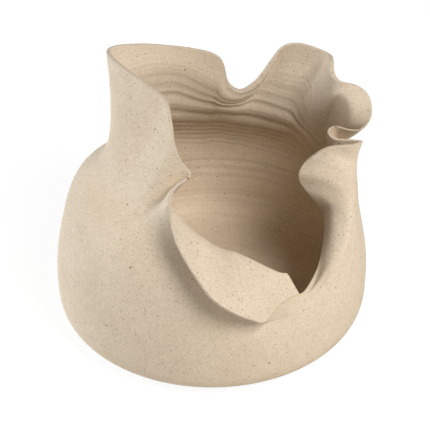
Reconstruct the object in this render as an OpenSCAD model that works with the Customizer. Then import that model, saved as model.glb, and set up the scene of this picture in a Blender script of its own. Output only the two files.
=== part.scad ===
// Speckled stoneware vase. A wide round belly stands on a low turned foot and carries a tall
// neck. The neck is cut down towards the front, folded out there into a pointed lapel, and
// gathered on the right into a flared lobe, a tight tongue and a leaf that leans inwards.
// The sections are luted together face to face, as the potter joins them.
// The front of the vase faces -Y, the tall corner of the rim is at -X, and the vase stands on z = 0.

/* [Belly] */
// Radius of the belly at its widest
belly_r = 115.5; // [112:0.5:120]
// Radius of the belly's flat underside
base_r = 72; // [68:1:78]
// Height of the belly section, from its underside to the seam with the neck
belly_h = 63; // [60:0.5:66]
// Height of the widest ring above the belly's underside
widest_h = 35.5; // [32:0.5:40]
// How far the belly has drawn in again at the seam
seam_draw = 2.5; // [1.5:0.1:4]
// How square the lower corner is, where 2 is a plain ellipse
corner_power = 3.9; // [3:0.1:4.5]
// Thickness of the thrown wall
wall_t = 5; // [4.4:0.1:5.4]

/* [Foot and floor] */
// Height of the turned foot
foot_h = 3; // [2:0.5:5]
// How far the foot is set in from the edge of the belly's underside
foot_set = 2; // [1:0.5:4]
// Thickness of the floor slab
floor_t = 6; // [5:0.5:9]
// Width of the belly's standing edge, round the floor slab
edge_w = 8; // [6:0.5:9]

/* [Neck] */
// Height that the rim's shares are measured in, a little over the tall corner
rim_h = 212; // [208:1:216]
// Radius that the rim's shares are measured in, near the reach of the flared lobe
rim_reach = 117; // [115:0.5:119]
// Thickness of the clay at the rim
rim_t = 3.6; // [3.2:0.1:4]
// How far the neck carries on along the belly's slope above the seam
slope_h = 19; // [16:0.5:22]

/* [Hidden] */

// Faces round a turned piece
$fn = 144;

// Heights of the stacked sections
floor_top = foot_h + floor_t;
widest_z = foot_h + widest_h;
seam_z = foot_h + belly_h;
floor_r = base_r - edge_w;

// Facets of the neck: steps from one station to the next, up the wall and over the rim
station_steps = 2;
wall_steps = 20;
rim_steps = 4;

// Points along each curve of the belly's outline
curve_steps = 18;

// How much the rim is drawn through its stations (0) or rounded between them (1)
round_share = 0.15;
// How far the root of the neck turns from the seam's angle to the rim's, and how far the clay
// just below the rim does, where its bend is soft and where it is sharp
root_turn_share = 0.35;
lean_turn_shares = [0.7, 1];
// How far up from the seam the clay has thinned to the thickness of its rim
thin_share = 0.5;
// How proud the rounded rim stands, as a share of half its thickness
rim_crown_share = 0.6;
// Which way the doubled clay of the lapel swells: right, back and up (not to the right where it
// runs out softly)
swell = [0.33, 0.5, 0.87];

// The shoulder of the belly every 15 degrees round from +X: radius and height
shoulder_shares = [
    [0.91, 0.48], [0.895, 0.51], [0.88, 0.53], [0.86, 0.51], [0.845, 0.48], [0.84, 0.476],
    [0.84, 0.476], [0.84, 0.476], [0.84, 0.48], [0.845, 0.50], [0.855, 0.53], [0.86, 0.55],
    [0.86, 0.555], [0.86, 0.55], [0.86, 0.54], [0.86, 0.53], [0.86, 0.52], [0.86, 0.505],
    [0.87, 0.49], [0.89, 0.46], [0.92, 0.42], [0.945, 0.385], [0.935, 0.42], [0.92, 0.455]
];

// The root of the neck every 15 degrees round from +X: radius and height
root_shares = [
    [0.91, 0.58], [0.895, 0.58], [0.82, 0.59], [0.76, 0.60], [0.72, 0.60], [0.695, 0.60],
    [0.685, 0.595], [0.68, 0.59], [0.675, 0.59], [0.67, 0.59], [0.66, 0.585], [0.65, 0.58],
    [0.65, 0.575], [0.64, 0.575], [0.63, 0.575], [0.64, 0.58], [0.66, 0.585], [0.69, 0.59],
    [0.72, 0.58], [0.76, 0.56], [0.82, 0.50], [0.92, 0.42], [0.90, 0.465], [0.89, 0.54]
];

// Stations of the rim, from the tall left corner round the back, the right and the front.
// Each gives the angle at the seam, the angle, radius and height at the rim, how far the
// clay just below leans out and up from the rim, how far the folded lapel is doubled, how
// short the wall is cut, how sharp the bend below the rim is (below 0 where the doubled clay
// runs out softly), and how thick the rim is.
rim_shares = [
    // The tall back wall, from its corner to the dip
    [160, 160, 0.685, 0.977, -0.03, -0.16, 0, 0, 0, 0.7],
    [141, 136, 0.65, 0.93, -0.02, -0.14, 0, 0, 0, 0.7],
    [125, 117, 0.665, 0.88, -0.02, -0.12, 0, 0, 0, 0.7],
    [111, 101, 0.66, 0.85, -0.02, -0.12, 0, 0, 0, 0.7],
    [100, 89, 0.66, 0.825, -0.02, -0.12, 0, 0, 0, 0.8],
    [94, 84, 0.665, 0.79, -0.02, -0.09, 0, 0, 0, 0.9],
    [90, 81.2, 0.665, 0.71, -0.01, -0.05, 0, 0, 0, 1.1],
    [86, 75, 0.67, 0.681, 0, -0.03, 0, 0, 0, 1.2],
    // The round lobe behind
    [82, 68.7, 0.70, 0.706, 0.01, -0.04, 0, 0, 0, 1.35],
    [78.5, 65.2, 0.74, 0.737, 0.02, -0.06, 0, 0, 0, 1.25],
    [74, 62, 0.80, 0.785, 0.01, -0.08, 0, 0, 0, 1.1],
    [68, 58.5, 0.845, 0.832, -0.02, -0.10, 0, 0, 0, 0.8],
    [61, 52.5, 0.885, 0.855, -0.03, -0.12, 0, 0, 0, 0.7],
    [54, 44, 0.945, 0.845, -0.03, -0.10, 0, 0, 0, 0.7],
    [49, 38.5, 0.96, 0.84, -0.03, -0.08, 0, 0, 0, 0.8],
    [45, 31.5, 0.895, 0.857, 0.01, -0.07, 0, 0, 0.1, 1.1],
    [42, 26, 0.85, 0.843, 0.01, -0.06, 0, 0, 0.4, 1.2],
    // The lobe that flares out like a small spout
    [39, 22, 0.86, 0.824, -0.03, -0.045, 0, 0, 0.9, 0.9],
    [36, 19, 0.94, 0.813, -0.085, -0.02, 0, 0, 1, 0.8],
    [33, 14, 1, 0.79, -0.12, -0.01, 0, 0, 1, 0.6],
    [30, 9, 1, 0.74, -0.09, -0.03, 0, 0, 0.6, 0.5],
    [27, 8, 0.94, 0.695, 0, -0.05, 0, 0, 0, 0.35],
    [24, 10, 0.865, 0.685, 0, -0.06, 0, 0, 0, 0.35],
    // The tight tongue
    [21, 14, 0.795, 0.685, 0, -0.05, 0, 0, 0, 0.35],
    [18, 12.5, 0.745, 0.68, 0, -0.06, 0, 0, 0, 0.35],
    [15, 8, 0.77, 0.67, 0, -0.06, 0, 0, 0, 0.5],
    [12, 6.5, 0.88, 0.668, -0.01, -0.06, 0, 0, 0, 0.5],
    // The right corner and the leaf that leans inwards
    [9, 4, 0.94, 0.67, -0.03, -0.06, 0, 0, 0, 0.6],
    [6, 0, 0.87, 0.675, 0.03, -0.05, 0, 0, 0, 0.7],
    [2, -2, 0.72, 0.675, 0.08, -0.04, 0, 0, 0, 0.8],
    [-3, -3, 0.625, 0.645, 0.12, -0.02, 0, 0, 0, 0.8],
    [-8, -3, 0.565, 0.61, 0.14, 0, 0, 0, 0, 0.8],
    [-13, -5, 0.54, 0.575, 0.15, 0.01, 0, 0, 0, 0.8],
    [-18, -5, 0.555, 0.54, 0.15, 0.015, 0, 0, 0, 0.8],
    [-23, -8, 0.61, 0.51, 0.13, 0.015, 0, 0, 0, 0.9],
    // The rolled edge down to the end of the slit
    [-28, -11, 0.70, 0.46, 0.07, 0.045, 0, 0, 0, 1],
    [-33, -19, 0.735, 0.44, 0.07, 0.045, 0, 0.1, 0, 0.9],
    [-40, -31, 0.785, 0.4, 0.06, 0.03, 0, 0.3, 0, 0.8],
    [-45.5, -42, 0.845, 0.367, 0.03, 0, 0, 0.65, 0, 0.5],
    [-50.5, -50.5, 0.9, 0.36, 0.01, -0.02, 0, 0.9, 0, 0.25],
    [-54, -54.5, 0.935, 0.37, 0, -0.02, 0, 1, -1, 0.3],
    // The lapel, pressed on to the belly as far as its tip
    [-59, -59, 0.95, 0.377, 0.01, -0.02, 0.07, 1, -1, 0.3],
    [-64, -64, 0.975, 0.38, 0, -0.02, 0.125, 1, -0.6, 0.2],
    [-68, -68.5, 1.00, 0.37, 0, -0.02, 0.138, 1, -0.2, 0.12],
    [-71, -72.5, 1.04, 0.35, -0.04, 0.02, 0.16, 1, 0, 0.2],
    // The lapel's free lip
    [-75, -76.5, 1.07, 0.378, -0.10, 0.08, 0.07, 0.4, 0, 0.6],
    [-81, -83, 1.09, 0.426, -0.14, 0.10, 0, 0, 0, 0.7],
    [-88, -90, 1.075, 0.482, -0.17, 0.08, 0, 0, 0, 0.7],
    [-95, -95.5, 1.015, 0.547, -0.17, 0.08, 0, 0, 0, 0.7],
    [-103, -102.5, 0.913, 0.619, -0.14, 0.05, 0, 0, 0, 0.7],
    [-110, -107.5, 0.80, 0.666, -0.08, 0.02, 0, 0, 0, 0.7],
    [-118, -111.5, 0.69, 0.705, 0, -0.02, 0, 0, 0, 0.6],
    [-129, -112, 0.575, 0.72, 0.03, -0.04, 0, 0, 0, 0.6],
    // The thorn, and the front of the neck back up to the corner
    [-138, -107, 0.45, 0.725, 0.05, -0.05, 0, 0, 0, 0.6],
    [-144, -112, 0.47, 0.765, 0.06, -0.08, 0, 0, 0, 0.7],
    [-150, -119, 0.46, 0.82, 0.08, -0.11, 0, 0, 0, 0.7],
    [-158, -127, 0.41, 0.885, 0.08, -0.14, 0, 0, 0, 0.7],
    [-167, -142, 0.35, 0.93, 0.10, -0.16, 0, 0, 0, 0.7],
    [-177, -162, 0.41, 0.965, 0.10, -0.16, 0, 0, 0, 0.7],
    [-187, -181, 0.53, 0.98, 0.06, -0.16, 0, 0, 0, 0.7]
];

// Radius of the belly's outside above its widest ring
function upper_r(z) = belly_r - seam_draw * pow((z - widest_z) / (seam_z - widest_z), 2);

// A rounded corner from a level start to an upright end, as points of a superellipse
function corner(start, end, power) = [
    for (i = [0:curve_steps])
        let (a = 90 * i / curve_steps)
        [
            start.x + (end.x - start.x) * pow(sin(a), 2 / power),
            end.y - (end.y - start.y) * pow(cos(a), 2 / power)
        ]
];

// The upper part of the belly's outline, set in by the depth given
function upper(depth) = [
    for (i = [1:curve_steps])
        let (z = widest_z + (seam_z - widest_z) * i / curve_steps)
        [upper_r(z) - depth, z]
];

function back_to_front(list) = [for (i = [len(list) - 1:-1:0]) list[i]];

// Weights of four neighbours at t between the middle two: rounded, drawn through, and the mix
function rounded(t) = [
    pow(1 - t, 3),
    3 * pow(t, 3) - 6 * t * t + 4,
    -3 * pow(t, 3) + 3 * t * t + 3 * t + 1,
    pow(t, 3)
] / 6;
function through(t) = [
    -t + 2 * t * t - pow(t, 3),
    2 - 5 * t * t + 3 * pow(t, 3),
    t + 4 * t * t - 3 * pow(t, 3),
    pow(t, 3) - t * t
] / 2;
function mixed(t) = rounded(t) * round_share + through(t) * (1 - round_share);

function at_turn(r, a, z) = [r * cos(a), r * sin(a), z];
function flat_out(p) = let (d = [p.x, p.y, 0]) d / norm(d);
function unit(v) = v / norm(v);
function limited(v) = min(max(v, 0), 1);
function eased(v) = limited(v) * limited(v) * (3 - 2 * limited(v));

// A station by its number, counted on past the ends of the list, a full turn for each round
function station(i) =
    let (n = len(rim_shares), round = floor(i / n), row = rim_shares[i - n * round])
    [for (k = [0:len(row) - 1]) k < 2 ? row[k] - 360 * round : row[k]];
function station_at(u) =
    let (i = floor(u), w = mixed(u - i))
    w[0] * station(i - 1) + w[1] * station(i) + w[2] * station(i + 1) + w[3] * station(i + 2);

// A value of a table that goes round in even steps, at any angle
function round_table(table, a) =
    let (n = len(table), s = a * n / 360, i = floor(s), w = through(s - i))
    w[0] * table[wrap(i - 1, n)] + w[1] * table[wrap(i, n)]
    + w[2] * table[wrap(i + 1, n)] + w[3] * table[wrap(i + 2, n)];
function wrap(i, n) = i - n * floor(i / n);

// The six points that steer the outside of the wall at one place round the neck
function steering(s) =
    let (
        seam_a = s[0],
        rim_a = s[1],
        cut = limited(s[7]),
        bend = limited(s[8]),
        seam_r = upper_r(seam_z),
        slope = -2 * seam_draw / (seam_z - widest_z),
        shoulder = round_table(shoulder_shares, seam_a),
        root = round_table(root_shares, seam_a),
        foot = at_turn(seam_r, seam_a, seam_z),
        rim = at_turn(s[2] * rim_reach, rim_a, s[3] * rim_h),
        root_a = seam_a + (rim_a - seam_a) * root_turn_share,
        neck_root = at_turn(root[0] * rim_reach, root_a, root[1] * rim_h),
        lean_turn = lean_turn_shares[0] * (1 - bend) + lean_turn_shares[1] * bend,
        lean_a = seam_a + (rim_a - seam_a) * lean_turn,
        lean = at_turn((s[2] + s[4]) * rim_reach, lean_a, (s[3] + s[5]) * rim_h),
        full = [
            foot,
            at_turn(seam_r + slope * slope_h, seam_a, seam_z + slope_h),
            at_turn(shoulder[0] * rim_reach, seam_a, shoulder[1] * rim_h),
            neck_root * (1 - bend) + lean * bend,
            lean,
            rim
        ]
    )
    [for (k = [0:5]) full[k] * (1 - cut) + (foot + (rim - foot) * k / 5) * cut];

// The outside of the wall from the seam to the rim, as a smooth line led by those points
function wall_line(s) =
    let (p = steering(s), q = [p[0], p[0], each p, p[5], p[5]], spans = len(q) - 3)
    [
        for (j = [0:wall_steps])
            let (v = spans * j / wall_steps, i = min(floor(v), spans - 1), w = rounded(v - i))
            w[0] * q[i] + w[1] * q[i + 1] + w[2] * q[i + 2] + w[3] * q[i + 3]
    ];

// Directions into the clay at one section: level at the seam, then square to the wall's own slope
function way_line(outside, i) =
    let (
        n = len(outside),
        here = outside[i],
        before = outside[wrap(i - 1, n)],
        after = outside[wrap(i + 1, n)]
    )
    [
        for (j = [0:wall_steps])
            let (
                up = here[min(j + 1, wall_steps)] - here[max(j - 1, 0)],
                turn = eased((here[j].z - seam_z) / slope_h)
            )
            unit(-flat_out(here[j]) * (1 - turn) + unit(cross(after[j] - before[j], up)) * turn)
    ];

// The inside of the wall: the outside moved in by the thickness, along directions evened out
// with those of the sections on both sides, so that tight folds don't cross, and never down
// past the seam
function inside_line(outside, ways, i, s) =
    let (n = len(outside), before = ways[wrap(i - 1, n)], after = ways[wrap(i + 1, n)])
    [
        for (j = [0:wall_steps])
            let (
                v = j / wall_steps,
                soft = limited(-s[8]),
                t = wall_t + (rim_t * s[9] - wall_t) * eased(v / thin_share),
                doubled = s[6] * rim_h * pow(4 * v * (1 - v), 1 + soft),
                way = unit(before[j] + 2 * ways[i][j] + after[j]),
                p = outside[i][j] + way * t + [swell.x * (1 - soft), swell.y, swell.z] * doubled
            )
            [p.x, p.y, max(p.z, seam_z + rim_t * v)]
    ];

// The rounded edge between the outside and the inside
function rim_line(outside, inside) =
    let (
        a = outside[wall_steps],
        b = inside[wall_steps],
        up = unit(a - outside[wall_steps - 1]),
        half = (b - a) / 2
    )
    [
        for (k = [1:rim_steps - 1])
            let (turn = 180 * k / rim_steps)
            (a + b) / 2 - half * cos(turn) + up * norm(half) * sin(turn) * rim_crown_share
    ];

module turned_foot() {
    color("#cdb99b")
        cylinder(r = base_r - foot_set, h = foot_h);
}

module floor_slab() {
    color("#d2bfa2")
        translate([0, 0, foot_h])
            cylinder(r = floor_r, h = floor_t);
}

module belly_wall() {
    color("#dccbb0")
        rotate_extrude()
            polygon([
                [floor_r, foot_h],
                each corner([base_r, foot_h], [belly_r, widest_z], corner_power),
                each upper(0),
                each back_to_front(upper(wall_t)),
                each back_to_front(corner([floor_r, floor_top], [belly_r - wall_t, widest_z], corner_power))
            ]);
}

module folded_neck() {
    count = len(rim_shares) * station_steps;
    stations = [for (i = [0:count - 1]) station_at(i / station_steps)];
    outside = [for (s = stations) wall_line(s)];
    ways = [for (i = [0:count - 1]) way_line(outside, i)];
    sections = [
        for (i = [0:count - 1])
            let (inside = inside_line(outside, ways, i, stations[i]))
            [each outside[i], each rim_line(outside[i], inside), each back_to_front(inside)]
    ];
    size = len(sections[0]);
    color("#dccbb0")
        polyhedron(
            points = [for (section = sections) each section],
            faces = [
                for (i = [0:count - 1], j = [0:size - 1])
                    let (a = i * size, b = wrap(i + 1, count) * size, next = wrap(j + 1, size))
                    each [[a + j, a + next, b + next], [a + j, b + next, b + j]]
            ],
            convexity = 10
        );
}

turned_foot();
floor_slab();
belly_wall();
folded_neck();
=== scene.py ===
"""Speckled stoneware vase: a round thrown belly with a tall folded and ruffled neck.

The solids give the frame. Here each section gets a finer skin of the same form, with the
throwing rings, the cut rim and the matte speckled clay. Lengths are in millimetres in the
vase's own frame, and turn to metres where a mesh is made.
"""
import math
from collections import namedtuple

import bpy
import numpy as np
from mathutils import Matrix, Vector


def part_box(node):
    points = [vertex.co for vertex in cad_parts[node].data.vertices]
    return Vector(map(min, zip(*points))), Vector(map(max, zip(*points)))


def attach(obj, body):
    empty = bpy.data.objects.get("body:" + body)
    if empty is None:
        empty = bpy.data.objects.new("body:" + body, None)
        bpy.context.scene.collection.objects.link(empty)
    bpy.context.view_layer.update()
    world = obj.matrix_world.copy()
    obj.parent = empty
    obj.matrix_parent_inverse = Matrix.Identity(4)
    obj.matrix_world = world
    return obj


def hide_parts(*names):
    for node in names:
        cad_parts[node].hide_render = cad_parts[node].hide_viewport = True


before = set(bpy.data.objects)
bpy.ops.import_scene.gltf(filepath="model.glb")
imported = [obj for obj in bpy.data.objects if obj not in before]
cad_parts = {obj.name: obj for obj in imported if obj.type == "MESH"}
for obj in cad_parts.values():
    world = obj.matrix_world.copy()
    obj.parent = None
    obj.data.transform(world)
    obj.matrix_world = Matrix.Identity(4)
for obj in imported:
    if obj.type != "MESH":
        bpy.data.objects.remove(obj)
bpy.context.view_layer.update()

METRE = 1000.0

# The turned sections
BELLY_R = 115.5
BASE_R = 72.0
FOOT_SET = 2.0
FOOT_TOP = 3.0
FLOOR_R = 64.0
FLOOR_TOP = 9.0
WIDEST_Z = 38.5
SEAM_Z = 66.0
SEAM_DRAW = 2.5
CORNER_POWER = 3.9
WALL_T = 5.0

# How far the turned faces lap over each other, the foot's softened edge, and how near the axis
# a turned face starts
LAP_W = 8.0
EDGE_R = 0.8
AXIS_R = 0.05

# Rings of fingers and tools on the turned sections: depth, spacing, and the run of their fade.
# The floor lies a little lower inside, and the rings start off the hub and above the cove.
FOOT_RINGS = (0.12, 3.4, 6.0)
FLOOR_RINGS = (0.3, 7.5, 10.0)
BELLY_RINGS = (0.18, 8.0, 6.0)
FLOOR_DIP = 0.35
HUB_R = 8.0
COVE_Z = (14.0, 22.0)

# The neck: the height and the reach that its tables are shares of, and its rim's thickness
RIM_H = 212.0
RIM_REACH = 117.0
RIM_T = 3.6

# How far the belly's slope carries on above the seam, how much the lines between stations are
# rounded, the shares of the turn from seam to rim that are made at the root and at the lean
# (plain, and with a sharp bend), the share of the wall over which it thins, and how high the cut
# edge is rounded, as a share of half the wall
SLOPE_H = 19.0
ROUND_SHARE = 0.15
ROOT_TURN_SHARE = 0.35
LEAN_TURN_SHARES = (0.7, 1.0)
THIN_SHARE = 0.5
RIM_CROWN_SHARE = 0.6

# Which way the doubled clay swells, and the share of it from which its surface is evened
DOUBLED_WAY = np.array([0.33, 0.5, 0.87])
CALM_SHARE = 0.06

# Mesh density
ROUND_STEPS = 480
STATION_STEPS = 8
WALL_STEPS = 96
RIM_STEPS = 8
CURVE_STEPS = 40
EDGE_STEPS = 6
LAP_STEPS = 4
FOOT_STEPS = 120
FLOOR_STEPS = 200
BELLY_STEPS = 24

# The camera, in millimetres
CAMERA_TARGET = np.array([2.4, 0.0, 82.6])
CAMERA_ELEVATION = math.radians(35.5)
CAMERA_DISTANCE = 1380.0
LENS = 156.6
SENSOR_W = 36.0

# The lamps: name, place and width in metres, power in watts and colour
LAMPS = (
    ("key_light", (1.05, -1.4, 2.0), 1.2, 60.0, (1.0, 0.98, 0.95)),
    ("left_light", (-2.2, 0.5, 0.6), 1.5, 50.0, (0.91, 0.955, 1.0)),
    ("right_light", (2.2, 0.1, 0.8), 1.2, 9.0, (1.0, 0.99, 0.98)),
)

# The pale world: its strength on the vase, and where it is seen itself
WORLD_STRENGTHS = (0.04, 1.0)

# The stage's floor: half its width and how far it lies below the foot, in metres, the colour
# that takes the shadow, and how strong the white laid over it is where it is seen itself
STAGE_HALF = 6.0
STAGE_DROP = 0.0002
STAGE_COLOUR = (0.88, 0.87, 0.85, 1)
STAGE_WHITE = 1.08
STAGE_WHITE_SHARE = 0.85

# Shoulder of the belly, then root of the neck, every 15 degrees round from +X: radius, height
SHOULDER = np.array([
    [0.91, 0.48], [0.895, 0.51], [0.88, 0.53], [0.86, 0.51], [0.845, 0.48], [0.84, 0.476],
    [0.84, 0.476], [0.84, 0.476], [0.84, 0.48], [0.845, 0.50], [0.855, 0.53], [0.86, 0.55],
    [0.86, 0.555], [0.86, 0.55], [0.86, 0.54], [0.86, 0.53], [0.86, 0.52], [0.86, 0.505],
    [0.87, 0.49], [0.89, 0.46], [0.92, 0.42], [0.945, 0.385], [0.935, 0.42], [0.92, 0.455],
])
ROOT = np.array([
    [0.91, 0.58], [0.895, 0.58], [0.82, 0.59], [0.76, 0.60], [0.72, 0.60], [0.695, 0.60],
    [0.685, 0.595], [0.68, 0.59], [0.675, 0.59], [0.67, 0.59], [0.66, 0.585], [0.65, 0.58],
    [0.65, 0.575], [0.64, 0.575], [0.63, 0.575], [0.64, 0.58], [0.66, 0.585], [0.69, 0.59],
    [0.72, 0.58], [0.76, 0.56], [0.82, 0.50], [0.92, 0.42], [0.90, 0.465], [0.89, 0.54],
])

# Stations of the rim: angle at the seam, angle, radius and height at the rim, lean out and
# up just below it, doubled clay, how short the wall is cut, how sharp the bend below the rim
# is (below nought where the doubled clay runs out softly), and how thick the rim
Stations = namedtuple("Stations", (
    "seam_a", "rim_a", "rim_r", "rim_z", "lean_out", "lean_up", "double", "short", "sharp",
    "rim_share",
))
RIM = np.array([
    # The tall back wall, from its corner to the dip
    [160, 160, 0.685, 0.977, -0.03, -0.16, 0, 0, 0, 0.7],
    [141, 136, 0.65, 0.93, -0.02, -0.14, 0, 0, 0, 0.7],
    [125, 117, 0.665, 0.88, -0.02, -0.12, 0, 0, 0, 0.7],
    [111, 101, 0.66, 0.85, -0.02, -0.12, 0, 0, 0, 0.7],
    [100, 89, 0.66, 0.825, -0.02, -0.12, 0, 0, 0, 0.8],
    [94, 84, 0.665, 0.79, -0.02, -0.09, 0, 0, 0, 0.9],
    [90, 81.2, 0.665, 0.71, -0.01, -0.05, 0, 0, 0, 1.1],
    [86, 75, 0.67, 0.681, 0, -0.03, 0, 0, 0, 1.2],
    # The round lobe behind
    [82, 68.7, 0.70, 0.706, 0.01, -0.04, 0, 0, 0, 1.35],
    [78.5, 65.2, 0.74, 0.737, 0.02, -0.06, 0, 0, 0, 1.25],
    [74, 62, 0.80, 0.785, 0.01, -0.08, 0, 0, 0, 1.1],
    [68, 58.5, 0.845, 0.832, -0.02, -0.10, 0, 0, 0, 0.8],
    [61, 52.5, 0.885, 0.855, -0.03, -0.12, 0, 0, 0, 0.7],
    [54, 44, 0.945, 0.845, -0.03, -0.10, 0, 0, 0, 0.7],
    [49, 38.5, 0.96, 0.84, -0.03, -0.08, 0, 0, 0, 0.8],
    [45, 31.5, 0.895, 0.857, 0.01, -0.07, 0, 0, 0.1, 1.1],
    [42, 26, 0.85, 0.843, 0.01, -0.06, 0, 0, 0.4, 1.2],
    # The lobe that flares out like a small spout
    [39, 22, 0.86, 0.824, -0.03, -0.045, 0, 0, 0.9, 0.9],
    [36, 19, 0.94, 0.813, -0.085, -0.02, 0, 0, 1, 0.8],
    [33, 14, 1, 0.79, -0.12, -0.01, 0, 0, 1, 0.6],
    [30, 9, 1, 0.74, -0.09, -0.03, 0, 0, 0.6, 0.5],
    [27, 8, 0.94, 0.695, 0, -0.05, 0, 0, 0, 0.35],
    [24, 10, 0.865, 0.685, 0, -0.06, 0, 0, 0, 0.35],
    # The tight tongue
    [21, 14, 0.795, 0.685, 0, -0.05, 0, 0, 0, 0.35],
    [18, 12.5, 0.745, 0.68, 0, -0.06, 0, 0, 0, 0.35],
    [15, 8, 0.77, 0.67, 0, -0.06, 0, 0, 0, 0.5],
    [12, 6.5, 0.88, 0.668, -0.01, -0.06, 0, 0, 0, 0.5],
    # The right corner and the leaf that leans inwards
    [9, 4, 0.94, 0.67, -0.03, -0.06, 0, 0, 0, 0.6],
    [6, 0, 0.87, 0.675, 0.03, -0.05, 0, 0, 0, 0.7],
    [2, -2, 0.72, 0.675, 0.08, -0.04, 0, 0, 0, 0.8],
    [-3, -3, 0.625, 0.645, 0.12, -0.02, 0, 0, 0, 0.8],
    [-8, -3, 0.565, 0.61, 0.14, 0, 0, 0, 0, 0.8],
    [-13, -5, 0.54, 0.575, 0.15, 0.01, 0, 0, 0, 0.8],
    [-18, -5, 0.555, 0.54, 0.15, 0.015, 0, 0, 0, 0.8],
    [-23, -8, 0.61, 0.51, 0.13, 0.015, 0, 0, 0, 0.9],
    # The rolled edge down to the end of the slit
    [-28, -11, 0.70, 0.46, 0.07, 0.045, 0, 0, 0, 1],
    [-33, -19, 0.735, 0.44, 0.07, 0.045, 0, 0.1, 0, 0.9],
    [-40, -31, 0.785, 0.4, 0.06, 0.03, 0, 0.3, 0, 0.8],
    [-45.5, -42, 0.845, 0.367, 0.03, 0, 0, 0.65, 0, 0.5],
    [-50.5, -50.5, 0.9, 0.36, 0.01, -0.02, 0, 0.9, 0, 0.25],
    [-54, -54.5, 0.935, 0.37, 0, -0.02, 0, 1, -1, 0.3],
    # The lapel, pressed on to the belly as far as its tip
    [-59, -59, 0.95, 0.377, 0.01, -0.02, 0.07, 1, -1, 0.3],
    [-64, -64, 0.975, 0.38, 0, -0.02, 0.125, 1, -0.6, 0.2],
    [-68, -68.5, 1.00, 0.37, 0, -0.02, 0.138, 1, -0.2, 0.12],
    [-71, -72.5, 1.04, 0.35, -0.04, 0.02, 0.16, 1, 0, 0.2],
    # The lapel's free lip
    [-75, -76.5, 1.07, 0.378, -0.10, 0.08, 0.07, 0.4, 0, 0.6],
    [-81, -83, 1.09, 0.426, -0.14, 0.10, 0, 0, 0, 0.7],
    [-88, -90, 1.075, 0.482, -0.17, 0.08, 0, 0, 0, 0.7],
    [-95, -95.5, 1.015, 0.547, -0.17, 0.08, 0, 0, 0, 0.7],
    [-103, -102.5, 0.913, 0.619, -0.14, 0.05, 0, 0, 0, 0.7],
    [-110, -107.5, 0.80, 0.666, -0.08, 0.02, 0, 0, 0, 0.7],
    [-118, -111.5, 0.69, 0.705, 0, -0.02, 0, 0, 0, 0.6],
    [-129, -112, 0.575, 0.72, 0.03, -0.04, 0, 0, 0, 0.6],
    # The thorn, and the front of the neck back up to the corner
    [-138, -107, 0.45, 0.725, 0.05, -0.05, 0, 0, 0, 0.6],
    [-144, -112, 0.47, 0.765, 0.06, -0.08, 0, 0, 0, 0.7],
    [-150, -119, 0.46, 0.82, 0.08, -0.11, 0, 0, 0, 0.7],
    [-158, -127, 0.41, 0.885, 0.08, -0.14, 0, 0, 0, 0.7],
    [-167, -142, 0.35, 0.93, 0.10, -0.16, 0, 0, 0, 0.7],
    [-177, -162, 0.41, 0.965, 0.10, -0.16, 0, 0, 0, 0.7],
    [-187, -181, 0.53, 0.98, 0.06, -0.16, 0, 0, 0, 0.7],
])

# Throwing rings on the inside of the neck's back: place up the wall, depth in millimetres
# and width. The wide ones are swells, and only the fine ones get painted shade in their bottoms.
# Streaks of colour are made strongest in the zone of the rings, as painted shade on that band of
# the wall; the zone is given by where it sets in and fades, in millimetres.
RINGS = np.array([
    [0.22, 0.25, 0.012], [0.27, 0.35, 0.012], [0.32, 0.4, 0.012], [0.37, 0.5, 0.012],
    [0.415, 0.8, 0.012], [0.455, 0.9, 0.012], [0.49, -0.4, 0.014], [0.535, 1.1, 0.013],
    [0.575, -0.3, 0.014], [0.612, 1.15, 0.013], [0.65, 0.8, 0.012], [0.69, 0.4, 0.012],
    [0.56, 0.3, 0.05], [0.74, -0.9, 0.05],
])
FINE_RING = 0.02
RING_SHADE_ZONE = (110.0, 128.0, 158.0, 176.0)

# Angles of the rim between which the rings' relief and the painted shade in their bottoms set in
# and fade again, the flared lobe's side begins and ends, and the thrown inside and the worn rim on
# the left set in. The angles of the last stations are past LAST_TURN, and count on from the first
# ones.
RING_ARC = (22.0, 46.0)
GROOVE_SHADE_ARC = (6.0, 24.0)
RING_FADE = (172.0, 208.0)
FLARE_ARC = (56.0, 30.0)
FLARE_START = (-40.0, -10.0)
THROWN_ARCS = ((-20.0, 10.0), (-115.0, -130.0))
WORN_ARC = (-100.0, -115.0)
LAST_TURN = -150.0

# How the throwing lines leave the level as they go round: the angles between which a slant
# sets in, and how far up the wall it brings them, as a share of the wall's length
SLANTS = (((85.0, 110.0), 0.04), ((70.0, 45.0), -0.04), ((45.0, 17.0), -0.1))
FAR_SLANT = -0.14

# The band of the wall whose height the lines follow, the height that they head for on the flared
# lobe's side, and the least rise over the wall's length that they are led by, in millimetres
RING_BAND = (0.5, 0.7)
RING_RIGHT_Z = 134.0
LEAST_SLOPE = 60.0

# The share of the wall that the cut rim's stain takes, and how short the wall is cut where the
# stain has gone, because the lapel is pressed on to the belly
CUT_BAND = 0.025
PRESSED_SHARE = 0.9

# The pit beside the thorn, painted as a dark spot of shade with no hole cut: its place and
# radius, and the share of it that is full
PIT = np.array([-16.4, -54.2, 152.0])
PIT_R = 1.6
PIT_CORE = 0.5

# The two tones that each clay drifts between
STONEWARE_TONES = ((0.76, 0.645, 0.505, 1), (0.72, 0.60, 0.455, 1))
BARE_TONES = ((0.62, 0.50, 0.365, 1), (0.56, 0.445, 0.32, 1))

# Patches in the clay: their width in millimetres and detail, the noise at which they set in and
# are full, and for the crowding of the grains its least and its most
DRIFT = (42.0, 4.0, 0.35, 0.68)
MOTTLE = (5.0, 4.0, 0.3, 0.7)
SAND = (1.4, 2.0, 0.3, 0.7)
CROWD = (26.0, 2.0, 0.4, 0.66, 0.45, 1.0)
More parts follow.
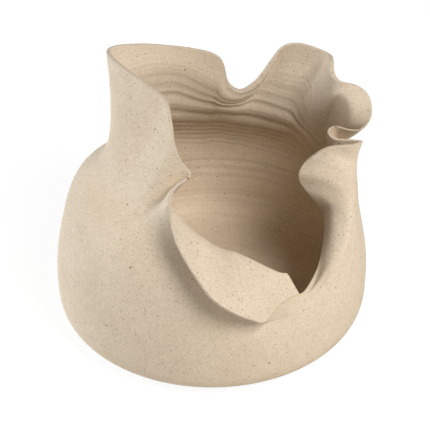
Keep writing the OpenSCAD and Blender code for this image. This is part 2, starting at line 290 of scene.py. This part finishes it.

# Stains over the clay, and painted shade in the rings' bottoms and at the pit: how strong they
# are, and their tint
MOTTLE_STAIN = (0.12, (0.47, 0.36, 0.25, 1))
LINED_STAIN = (0.22, (0.82, 0.72, 0.59, 1))
CUT_STAIN = (0.35, (0.56, 0.47, 0.39, 1))
# Painted shade in the bottoms of the fine throwing rings
GROOVE_PAINTED_SHADE = (0.3, (0.40, 0.31, 0.22, 1))
SAND_STAIN = (0.3, (0.50, 0.39, 0.27, 1))
# Painted shade: the dark spot of the pit beside the thorn
PIT_PAINTED_SHADE = (0.85, (0.13, 0.09, 0.055, 1))

# Streaks left by throwing: the waver of their height, as its width and depth in millimetres,
# their lines for each millimetre, the noise at which they set in and are full, how strong they
# are away from the zone of the rings and in it, where the extra strength is painted shade, and
# their tint
STREAK_WAVER = (60.0, 9.0)
STREAK_SCALE = 0.45
STREAK_STEP = (0.38, 0.62)
STREAK_STRENGTHS = (0.18, 0.36)
STREAK_TINT = (0.50, 0.38, 0.26, 1)

# Dark grains, from fine to rare: spacing and size in millimetres, how strong, tint, and a shift
# that keeps one kind's cells from lining up with another's
GRAINS = (
    (1.15, 0.38, 0.5, (0.21, 0.145, 0.085, 1), (0.031, 0.017, 0.043)),
    (3.2, 0.62, 0.52, (0.17, 0.12, 0.07, 1), (0.013, 0.057, 0.021)),
    (10.0, 0.95, 0.6, (0.12, 0.085, 0.055, 1), (0.071, 0.037, 0.093)),
)

# The share of a grain that is full, the share of cells that gain one along the cut rim, and the
# share of the grains that is left inside
GRAIN_CORE = 0.55
CUT_GRAINS = 0.25
INSIDE_GRAINS = 0.65

# The clay's relief: noise of the dry tooth and of the hand's swells, as width in millimetres and
# detail, and the strength and depth in millimetres of the swells and of the pits at grains
TOOTH_NOISE = (1.1, 5.0)
TOOTH_STRENGTH = 0.35
SWELL_NOISE = (9.0, 3.0)
SWELL_BUMP = (0.15, 0.4)
GRAIN_BUMP = (0.5, 0.25)

# How matte the clay is, between its patches and in them
ROUGHNESS = (0.78, 0.92)
SPECULAR = 0.3


def through(t):
    """Weights of four neighbours for a line drawn through the middle two."""
    return np.stack([
        -t + 2 * t ** 2 - t ** 3, 2 - 5 * t ** 2 + 3 * t ** 3,
        t + 4 * t ** 2 - 3 * t ** 3, t ** 3 - t ** 2,
    ], -1) / 2


def rounded(t):
    """Weights of four neighbours for a line rounded between the middle two."""
    return np.stack([
        (1 - t) ** 3, 3 * t ** 3 - 6 * t ** 2 + 4,
        -3 * t ** 3 + 3 * t ** 2 + 3 * t + 1, t ** 3,
    ], -1) / 6


def round_table(table, angles):
    """Values of a table that goes round in even steps, at any angles in degrees."""
    place = angles * len(table) / 360
    first = np.floor(place).astype(int)
    near = table[(first[:, None] + np.arange(-1, 3)) % len(table)]
    return np.einsum("ak,akc->ac", through(place - first), near)


def stations(steps):
    """The rim's stations by column, with this many steps from each to the next."""
    place = np.arange(len(RIM) * steps) / steps
    first = np.floor(place).astype(int)
    index = first[:, None] + np.arange(-1, 3)
    near = RIM[index % len(RIM)].copy()
    near[..., :2] -= 360.0 * (index // len(RIM))[..., None]
    t = place - first
    mix = rounded(t) * ROUND_SHARE + through(t) * (1 - ROUND_SHARE)
    return Stations(*np.einsum("ak,akc->ca", mix, near))


def at_turn(radius, degrees, height):
    """Points at a radius and height, at angles round the vase's axis."""
    radius, a, height = np.broadcast_arrays(radius, np.radians(degrees), height)
    return np.stack([radius * np.cos(a), radius * np.sin(a), height], -1)


def unit(v):
    return v / np.maximum(np.linalg.norm(v, axis=-1, keepdims=True), 1e-9)


def eased(v):
    """Nought to one, with a soft start and a soft end."""
    v = np.clip(v, 0, 1)
    return v * v * (3 - 2 * v)


def across(values, span):
    """Nought up to the span's first value, one from its second, and smooth between them."""
    return eased((values - span[0]) / (span[1] - span[0]))


def blended(first, second, share):
    return first * (1 - share) + second * share


def belly_r(z):
    """Radius of the belly's outside at the heights given."""
    low = np.clip((WIDEST_Z - z) / (WIDEST_Z - FOOT_TOP), 0, 1)
    lower = BASE_R + (BELLY_R - BASE_R) * (1 - low ** CORNER_POWER) ** (1 / CORNER_POWER)
    upper = BELLY_R - SEAM_DRAW * ((z - WIDEST_Z) / (SEAM_Z - WIDEST_Z)) ** 2
    return np.where(z < WIDEST_Z, lower, upper)


def corner(start, end, power):
    """A rounded corner from a level start to an upright end."""
    a = np.linspace(0, math.pi / 2, CURVE_STEPS + 1)
    return np.stack([
        start[0] + (end[0] - start[0]) * np.sin(a) ** (2 / power),
        end[1] - (end[1] - start[1]) * np.cos(a) ** (2 / power),
    ], -1)


def steering(s):
    """The six points that steer the outside of the wall at each station."""
    seam_r = BELLY_R - SEAM_DRAW
    slope = -2 * SEAM_DRAW / (SEAM_Z - WIDEST_Z)
    shoulder = round_table(SHOULDER, s.seam_a)
    root = round_table(ROOT, s.seam_a)
    bend = np.clip(s.sharp, 0, 1)
    turn = s.rim_a - s.seam_a
    root_a = s.seam_a + turn * ROOT_TURN_SHARE
    lean_a = s.seam_a + turn * blended(*LEAN_TURN_SHARES, bend)
    foot = at_turn(seam_r, s.seam_a, SEAM_Z)
    rim = at_turn(s.rim_r * RIM_REACH, s.rim_a, s.rim_z * RIM_H)
    full = [
        foot,
        at_turn(seam_r + slope * SLOPE_H, s.seam_a, SEAM_Z + SLOPE_H),
        at_turn(shoulder[:, 0] * RIM_REACH, s.seam_a, shoulder[:, 1] * RIM_H),
        at_turn(root[:, 0] * RIM_REACH, root_a, root[:, 1] * RIM_H),
        at_turn((s.rim_r + s.lean_out) * RIM_REACH, lean_a, (s.rim_z + s.lean_up) * RIM_H),
        rim,
    ]
    full[3] = blended(full[3], full[4], bend[:, None])
    straight = [blended(foot, rim, k / 5) for k in range(6)]
    cut = np.clip(s.short, 0, 1)[:, None]
    return np.stack([blended(p, q, cut) for p, q in zip(full, straight)], 1)


def wall_lines(points, up):
    """Smooth lines led by the steering points, at the shares of their way given."""
    clamped = np.concatenate([points[:, :1]] * 2 + [points] + [points[:, -1:]] * 2, 1)
    spans = clamped.shape[1] - 3
    place = up * spans
    first = np.minimum(np.floor(place).astype(int), spans - 1)
    near = clamped[:, first[:, None] + np.arange(4)]
    return np.einsum("jk,ajkc->ajc", rounded(place - first), near)


def squares(outside):
    """Directions into the clay, square to the wall."""
    along = np.roll(outside, -1, 0) - np.roll(outside, 1, 0)
    up = np.gradient(outside, axis=1)
    return unit(np.cross(along, up))


def evened(values, reach):
    """Values round the rim, each one the mean of its neighbours within reach."""
    weights = {k: 1 - abs(k) / (reach + 1) for k in range(-reach, reach + 1)}
    return sum(np.roll(values, k, 0) * w for k, w in weights.items()) / sum(weights.values())


def ring_levels(outside, up, turned):
    """How far up the wall each point counts as being, for the lines that the thrower left.

    The lines run level round the back, dip with the wall's folds only in part, and fall away
    on the right to the flared lobe.
    """
    slant = sum(share * across(turned, span) for span, share in SLANTS)
    low, high = (int(share * WALL_STEPS) for share in RING_BAND)
    height = (outside[:, low, 2] + outside[:, high, 2]) / 2
    slope = (outside[:, high, 2] - outside[:, low, 2]) / (up[high] - up[low])
    flared = across(turned, FLARE_ARC) * across(turned, FLARE_START)
    target = blended(evened(height, 3 * STATION_STEPS), RING_RIGHT_Z, flared)
    lift = (target - height) / np.maximum(slope, LEAST_SLOPE)
    slant = slant + lift * across(turned, GROOVE_SHADE_ARC)
    slant = blended(slant, evened(slant, 2 * STATION_STEPS), flared)
    slant = blended(slant, FAR_SLANT, across(turned, RING_FADE))
    return up - slant[:, None]


def neck_wall(s, up):
    """The outside and the inside of the neck's wall, and the way into its clay."""
    outside = wall_lines(steering(s), up)
    flat = -unit(outside * [1, 1, 0])
    turn = eased((outside[..., 2:] - SEAM_Z) / SLOPE_H)
    way = unit(evened(unit(blended(flat, squares(outside), turn)), STATION_STEPS // 2))
    rim_t = RIM_T * s.rim_share[:, None]
    thick = (WALL_T + (rim_t - WALL_T) * eased(up / THIN_SHARE))[..., None]

    # The doubled clay swells out of the wall, and not sideways where it runs out softly
    soft = np.clip(-s.sharp, 0, 1)[:, None]
    doubled = (s.double[:, None] * RIM_H * (4 * up * (1 - up)) ** (1 + soft))[..., None]
    outward = np.concatenate([1 - soft, np.ones_like(soft), np.ones_like(soft)], 1)[:, None]
    inside = outside + way * thick + DOUBLED_WAY * outward * doubled
    calm = eased(s.double / CALM_SHARE)[:, None, None]
    inside = blended(inside, evened(inside, STATION_STEPS), calm)
    inside[..., 2] = np.maximum(inside[..., 2], SEAM_Z + RIM_T * up)
    return outside, inside, way


def thrown_rings(level, turned):
    """How deep the throwing rings are, in millimetres, and how much painted shade lies in their
    bottoms.
    """
    here = 1 - across(turned, RING_FADE)
    place, depth, width = RINGS.T
    lines = np.exp(-((level[..., None] - place) / width) ** 2)
    rings = (depth * lines).sum(-1) * (across(turned, RING_ARC) * here)[:, None]
    # How much painted shade lies in the fine rings' bottoms
    ring_shade = (np.clip(depth, 0, 1) * (width < FINE_RING) * lines).sum(-1)
    return rings, ring_shade * (across(turned, GROOVE_SHADE_ARC) * here)[:, None]


def crowned(outer, inner, below):
    """The rounded cut edge between the wall's outer and inner top, square to the wall below."""
    rise = unit(outer - below)
    half = (inner - outer) / 2
    crown_h = np.linalg.norm(half, axis=1, keepdims=True) * RIM_CROWN_SHARE
    a = np.linspace(0, math.pi, RIM_STEPS + 1)[1:-1, None]
    crown = (outer + half)[:, None] - half[:, None] * np.cos(a)
    return crown + (rise * crown_h)[:, None] * np.sin(a)


def neck_sections():
    """Sections of the neck as a grid of points, with its marks."""
    s = stations(STATION_STEPS)
    up = np.linspace(0, 1, WALL_STEPS + 1)
    outside, inside, way = neck_wall(s, up)
    turned = np.where(s.rim_a < LAST_TURN, s.rim_a + 360, s.rim_a)
    level = ring_levels(outside, up, turned)
    rings, ring_shade = thrown_rings(level, turned)
    inside -= way * rings[..., None]
    crown = crowned(outside[:, -1], inside[:, -1], outside[:, -2])
    grid = np.concatenate([outside, crown, inside[:, ::-1]], 1)

    # The marks run up the outside, over the edge and down the inside, as the grid does
    edge = np.ones(crown.shape[:2])
    near_rim = np.clip(1 - (1 - up) / CUT_BAND, 0, 1)
    worn = 1 + across(s.rim_a, WORN_ARC) - eased(s.short / PRESSED_SHARE)
    lined = sum(across(s.rim_a, arc) for arc in THROWN_ARCS)
    climb = np.concatenate([level, edge, level[:, ::-1]], 1) * (RIM_H - SEAM_Z) + SEAM_Z
    cut = worn[:, None] * np.concatenate([near_rim, edge[0], near_rim[::-1]])
    thrown = lined[:, None] * np.concatenate([0 * up, 0 * edge[0], 1 - near_rim[::-1]])
    # Painted shade in the bottoms of the fine rings, on the inside only
    groove_shade = np.concatenate([0 * level, 0 * edge, ring_shade[:, ::-1]], 1)
    return grid, {"cut": cut, "climb": climb, "thrown": thrown, "groove_shade": groove_shade}


def make_mesh(name, grid, material, **marks):
    """A smooth skin over a grid of points that closes on itself all the way round.

    The marks are numbers that its material reads: cut is 1 on the cut rim, thrown is 1 on the
    inside where the throwing lines show, climb is the way up the wall in millimetres, and the
    mark of the rings' bottoms is 1 where the material paints shade in them.
    """
    rounds, size = grid.shape[:2]
    index = np.arange(rounds * size).reshape(rounds, size)
    following = np.roll(index, -1, 0)
    faces = np.stack([index[:, :-1], index[:, 1:], following[:, 1:], following[:, :-1]], -1)
    mesh = bpy.data.meshes.new(name)
    mesh.from_pydata((grid.reshape(-1, 3) / METRE).tolist(), [], faces.reshape(-1, 4).tolist())
    mesh.polygons.foreach_set("use_smooth", [True] * len(mesh.polygons))
    for key, given in marks.items():
        values = np.broadcast_to(given, (rounds, size)).astype(float).reshape(-1)
        mesh.attributes.new(key, "FLOAT", "POINT").data.foreach_set("value", values)
    mesh.materials.append(material)
    piece = bpy.data.objects.new(name, mesh)
    bpy.context.scene.collection.objects.link(piece)
    return piece


def lathe(name, node, profile, material, **marks):
    """A turned piece from its outline of radius and height, in the box of its node."""
    turns = np.arange(ROUND_STEPS) * 360 / ROUND_STEPS
    grid = np.stack([at_turn(r, turns, z) for r, z in profile], 1)
    return make_mesh(name, kept_inside(grid, node), material, **marks)


class Graph:
    """The node tree of a material or a world, built one call a node."""

    def __init__(self, owner):
        owner.use_nodes = True
        self.tree = owner.node_tree
        self.tree.nodes.clear()

    def node(self, kind, inputs=None, **settings):
        made = self.tree.nodes.new(kind)
        for key, value in settings.items():
            setattr(made, key, value)
        for key, value in (inputs or {}).items():
            if isinstance(value, bpy.types.NodeSocket):
                self.tree.links.new(value, made.inputs[key])
            else:
                made.inputs[key].default_value = value
        return made

    def math(self, operation, a, b=0.0):
        return self.node("ShaderNodeMath", {0: a, 1: b}, operation=operation).outputs[0]

    def multiply_add(self, a, b, c):
        return self.node("ShaderNodeMath", {0: a, 1: b, 2: c}, operation="MULTIPLY_ADD").outputs[0]

    def ramp(self, value, low, high, to_low=0.0, to_high=1.0):
        """A smooth step from one level to the other, between a low and a high value."""
        given = (value, low, high, to_low, to_high)
        inputs = dict(zip(("Value", "From Min", "From Max", "To Min", "To Max"), given))
        return self.node("ShaderNodeMapRange", inputs, interpolation_type="SMOOTHSTEP").outputs[0]

    def noise(self, place, grain, detail):
        """Noise with patches about as wide as the grain, in millimetres."""
        inputs = {"Vector": place, "Scale": METRE / grain, "Detail": detail, "Roughness": 0.55}
        return self.node("ShaderNodeTexNoise", inputs).outputs[0]

    def patches(self, place, grain, detail, low, high, *levels):
        """Soft patches: noise of a grain and detail, taken from low to high."""
        return self.ramp(self.noise(place, grain, detail), low, high, *levels)

    def mix(self, share, a, b):
        made = self.node("ShaderNodeMix", {0: share, 6: a, 7: b}, data_type="RGBA")
        return made.outputs[2]

    def mark(self, name):
        return self.node("ShaderNodeAttribute", attribute_name=name).outputs["Fac"]

    def seen(self):
        """One where the camera or a mirroring surface sees it, and nought for other light."""
        path = self.node("ShaderNodeLightPath").outputs
        return self.math("MAXIMUM", path["Is Camera Ray"], path["Is Glossy Ray"])

    def tinted(self, colour, mask, strength, tint):
        """The colour with a tint over it, as strong as the mask times the strength."""
        return self.mix(self.math("MULTIPLY", mask, strength), colour, tint)

    def bump(self, height, strength, depth, under=None, invert=False):
        """A bump of a depth in millimetres, laid over the one under it."""
        inputs = {"Height": height, "Strength": strength, "Distance": depth / METRE}
        if under is not None:
            inputs["Normal"] = under
        return self.node("ShaderNodeBump", inputs, invert=invert).outputs[0]


def specks(graph, place, share, spacing, size, shift):
    """Round grains: one in each cell about as wide as the spacing, in a share of the cells.

    A grain's radius is between a third of the size and four thirds of it.
    """
    moved = graph.node("ShaderNodeVectorMath", {0: place, 1: shift}, operation="ADD").outputs[0]
    cells = graph.node("ShaderNodeTexVoronoi", {"Vector": moved, "Scale": METRE / spacing})
    parts = graph.node("ShaderNodeSeparateColor", {0: cells.outputs["Color"]}).outputs
    chosen = graph.math("LESS_THAN", parts[0], share)
    reach = graph.multiply_add(parts[1], size / spacing, size / spacing / 3)
    ratio = graph.math("DIVIDE", cells.outputs["Distance"], reach)
    return graph.math("MULTIPLY", chosen, graph.ramp(ratio, 1.0, GRAIN_CORE))


def streaks(graph, place, climb, thrown):
    """Streaks left by throwing, and how strong they are up the wall: strongest in the zone of the
    rings, as painted shade.
    """
    waver = graph.noise(place, STREAK_WAVER[0], 1.0)
    height = graph.multiply_add(waver, STREAK_WAVER[1], climb)
    inputs = {"W": height, "Scale": STREAK_SCALE, "Detail": 4.0}
    streak = graph.node("ShaderNodeTexNoise", inputs, noise_dimensions="1D").outputs[0]
    streak = graph.math("MULTIPLY", graph.ramp(streak, *STREAK_STEP), thrown)
    # The zone of the rings, where the streaks are strongest as painted shade
    above = graph.ramp(climb, RING_SHADE_ZONE[0], RING_SHADE_ZONE[1])
    below = graph.ramp(climb, RING_SHADE_ZONE[2], RING_SHADE_ZONE[3], 1.0, 0.0)
    shade_zone = graph.math("MULTIPLY", above, below)
    return streak, graph.ramp(shade_zone, 0.0, 1.0, *STREAK_STRENGTHS)


def grain_share(graph, place, cut, thrown, most):
    """Share of the cells with a grain: fewer inside, and more along the cut rim."""
    share = graph.math("MULTIPLY", graph.patches(place, *CROWD), most)
    share = graph.math("ADD", share, graph.math("MULTIPLY", cut, CUT_GRAINS))
    return graph.math("MULTIPLY", share, graph.ramp(thrown, 0.0, 1.0, 1.0, INSIDE_GRAINS))


def pit_shade(graph, place):
    """Painted shade of the pit beside the thorn: a dark spot, with no hole in the mesh."""
    inputs = {0: place, 1: PIT / METRE}
    away = graph.node("ShaderNodeVectorMath", inputs, operation="DISTANCE").outputs["Value"]
    return graph.ramp(away, PIT_CORE * PIT_R / METRE, PIT_R / METRE, 1.0, 0.0)


def clay(name, tones, tooth, most_grains):
    """Matte fired clay: soft drifts of tone, dark grains, and a fine dry tooth."""
    material = bpy.data.materials.new(name)
    g = Graph(material)
    place = g.node("ShaderNodeTexCoord").outputs["Object"]
    cut = g.mark("cut")
    thrown = g.mark("thrown")
    streak, streak_strength = streaks(g, place, g.mark("climb"), thrown)
    share = grain_share(g, place, cut, thrown, most_grains)
    grains = [specks(g, place, share, *kind[:2], kind[-1]) for kind in GRAINS]
    mottle = g.patches(place, *MOTTLE)

    colour = g.mix(g.patches(place, *DRIFT), *tones)
    colour = g.tinted(colour, mottle, *MOTTLE_STAIN)
    colour = g.tinted(colour, thrown, *LINED_STAIN)
    # Throwing streaks, strongest in the zone of the rings as painted shade
    colour = g.tinted(colour, streak, streak_strength, STREAK_TINT)
    colour = g.tinted(colour, cut, *CUT_STAIN)
    # Painted shade in the bottoms of the fine throwing rings
    colour = g.tinted(colour, g.mark("groove_shade"), *GROOVE_PAINTED_SHADE)
    colour = g.tinted(colour, g.patches(place, *SAND), *SAND_STAIN)
    for mask, (_, _, strength, tint, _) in zip(grains, GRAINS):
        colour = g.tinted(colour, mask, strength, tint)
    # Painted shade of the pit beside the thorn
    colour = g.tinted(colour, pit_shade(g, place), *PIT_PAINTED_SHADE)

    # The dry tooth, the soft swells of the hand, and pits where all but the fine grains sit
    bump = g.bump(g.noise(place, *TOOTH_NOISE), TOOTH_STRENGTH, tooth)
    bump = g.bump(g.noise(place, *SWELL_NOISE), *SWELL_BUMP, bump)
    bump = g.bump(g.math("MAXIMUM", *grains[1:]), *GRAIN_BUMP, bump, invert=True)
    shader = g.node("ShaderNodeBsdfPrincipled", {
        "Base Color": colour, "Roughness": g.ramp(mottle, 0.0, 1.0, *ROUGHNESS),
        "Specular IOR Level": SPECULAR, "Normal": bump,
    })
    g.node("ShaderNodeOutputMaterial", {"Surface": shader.outputs[0]})
    return material


def rippled(place, rings, left):
    """Height of shallow rings that fingers or a tool leave, fading as little is left to go."""
    depth, spacing, run = rings
    return depth * np.sin(place * 2 * math.pi / spacing) * eased(left / run)


def kept_inside(grid, node):
    """The grid without the last hair's breadth that a finer curve would add to the solid's box."""
    low, high = np.array(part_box(node)) * METRE
    return np.clip(grid, low, high)


def stand_for(piece, node):
    """The piece takes the place of a solid of the frame."""
    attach(piece, "root")
    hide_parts(node)


def build_foot(material):
    """The turned foot: a low disc with a softened edge and tool rings beneath."""
    r = BASE_R - FOOT_SET
    flat_r = r - EDGE_R
    a = np.linspace(0, math.pi / 2, EDGE_STEPS + 1)
    edge = np.stack([flat_r + EDGE_R * np.sin(a), EDGE_R - EDGE_R * np.cos(a)], -1)
    below_r = np.linspace(AXIS_R, flat_r, FOOT_STEPS)
    lift = np.abs(rippled(below_r, FOOT_RINGS, flat_r - below_r))
    below = np.stack([below_r, lift], -1)
    profile = np.concatenate([below, edge[1:], [[r, FOOT_TOP]], [[BASE_R - LAP_W, FOOT_TOP]]])
    skin = lathe("turned_foot_skin", "turned_foot", profile, material)
    stand_for(skin, "turned_foot")


def build_floor(material):
    """The floor inside, with the finger rings left on it."""
    r = np.linspace(AXIS_R, FLOOR_R, FLOOR_STEPS)
    left = FLOOR_R - r
    z = FLOOR_TOP - FLOOR_DIP + rippled(r, FLOOR_RINGS, left) * eased(r / HUB_R)
    z += FLOOR_DIP * eased(1 - left / FLOOR_RINGS[2])
    profile = np.concatenate([[[FLOOR_R, FOOT_TOP]], np.stack([r, z], -1)[::-1]])
    climb = np.concatenate([[0], (FLOOR_TOP - left)[::-1]])
    skin = lathe("floor_slab_skin", "floor_slab", profile, material, climb=climb, thrown=1)
    stand_for(skin, "floor_slab")


def build_belly(material):
    """The round belly: smoothed outside, faint finger rings inside."""
    upper_z = np.linspace(WIDEST_Z, SEAM_Z, BELLY_STEPS)[1:]
    outer = np.concatenate([
        corner((BASE_R, FOOT_TOP), (BELLY_R, WIDEST_Z), CORNER_POWER),
        np.stack([belly_r(upper_z), upper_z], -1),
    ])
    inner = np.concatenate([
        corner((FLOOR_R, FLOOR_TOP), (BELLY_R - WALL_T, WIDEST_Z), CORNER_POWER),
        np.stack([belly_r(upper_z) - WALL_T, upper_z], -1),
    ])
    rings = rippled(inner[:, 1], BELLY_RINGS, SEAM_Z - inner[:, 1])
    inner[:, 0] += rings * across(inner[:, 1], COVE_Z)
    inner = inner[::-1]
    under_r = np.linspace(BASE_R - LAP_W, BASE_R, LAP_STEPS + 1)[:-1]
    under = np.stack([under_r, np.full(LAP_STEPS, FOOT_TOP)], -1)
    skin = lathe("belly_skin", "belly_wall", np.concatenate([under, outer]), material)
    stand_for(skin, "belly_wall")
    lining = lathe("belly_lining", "belly_wall", inner, material, climb=inner[:, 1], thrown=1)
    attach(lining, "root")


def build_neck(material):
    """The folded neck, with the rings that the thrower's fingers left inside it."""
    grid, marks = neck_sections()
    grid = kept_inside(grid, "folded_neck")
    stand_for(make_mesh("neck_skin", grid, material, **marks), "folded_neck")


def area_light(name, place, size, power, colour):
    """A round lamp that faces the vase."""
    lamp = bpy.data.lights.new(name, "AREA")
    lamp.shape = "DISK"
    lamp.size = size
    lamp.energy = power
    lamp.color = colour
    holder = bpy.data.objects.new(name, lamp)
    bpy.context.scene.collection.objects.link(holder)
    holder.location = place
    aim = CAMERA_TARGET / METRE - place
    flat = math.hypot(aim[0], aim[1])
    holder.rotation_euler = (math.atan2(flat, -aim[2]), 0, math.atan2(-aim[0], aim[1]))


def build_light():
    """A key from the front right, a broad light on each side, and an even pale world."""
    for lamp in LAMPS:
        area_light(*lamp)
    world = bpy.data.worlds.new("studio")
    bpy.context.scene.world = world
    g = Graph(world)
    strength = g.ramp(g.seen(), 0.0, 1.0, *WORLD_STRENGTHS)
    back = g.node("ShaderNodeBackground", {"Strength": strength})
    g.node("ShaderNodeOutputWorld", {"Surface": back.outputs[0]})


def build_floor_stage():
    """A plain white floor that keeps a faint soft shadow."""
    material = bpy.data.materials.new("stage_white")
    g = Graph(material)
    diffuse = g.node("ShaderNodeBsdfDiffuse", {"Color": STAGE_COLOUR})
    white = g.node("ShaderNodeEmission", {"Color": (1, 1, 1, 1), "Strength": STAGE_WHITE})
    share = g.math("MULTIPLY", g.seen(), STAGE_WHITE_SHARE)
    both = g.node("ShaderNodeMixShader", {0: share, 1: diffuse.outputs[0], 2: white.outputs[0]})
    g.node("ShaderNodeOutputMaterial", {"Surface": both.outputs[0]})
    mesh = bpy.data.meshes.new("stage_floor")
    corners = [(x * STAGE_HALF, y * STAGE_HALF, 0) for x, y in ((-1, -1), (1, -1), (1, 1), (-1, 1))]
    mesh.from_pydata(corners, [], [(0, 1, 2, 3)])
    mesh.materials.append(material)
    floor = bpy.data.objects.new("stage_floor", mesh)
    floor.location.z = -STAGE_DROP
    bpy.context.scene.collection.objects.link(floor)


def build_camera():
    """The photograph's view, from in front and above."""
    lens = bpy.data.cameras.new("camera")
    lens.sensor_width = SENSOR_W
    lens.lens = LENS
    lens.clip_end = 20.0
    camera = bpy.data.objects.new("camera", lens)
    bpy.context.scene.collection.objects.link(camera)
    back = np.array([0, -math.cos(CAMERA_ELEVATION), math.sin(CAMERA_ELEVATION)])
    camera.location = (CAMERA_TARGET + back * CAMERA_DISTANCE) / METRE
    camera.rotation_euler = (math.pi / 2 - CAMERA_ELEVATION, 0, 0)
    bpy.context.scene.camera = camera


build_camera()
build_light()
build_floor_stage()
stoneware = clay("speckled_stoneware", STONEWARE_TONES, tooth=0.10, most_grains=0.9)
bare = clay("bare_clay", BARE_TONES, tooth=0.16, most_grains=0.4)
build_foot(bare)
build_floor(stoneware)
build_belly(stoneware)
build_neck(stoneware)
bpy.context.scene.view_settings.view_transform = "Standard"
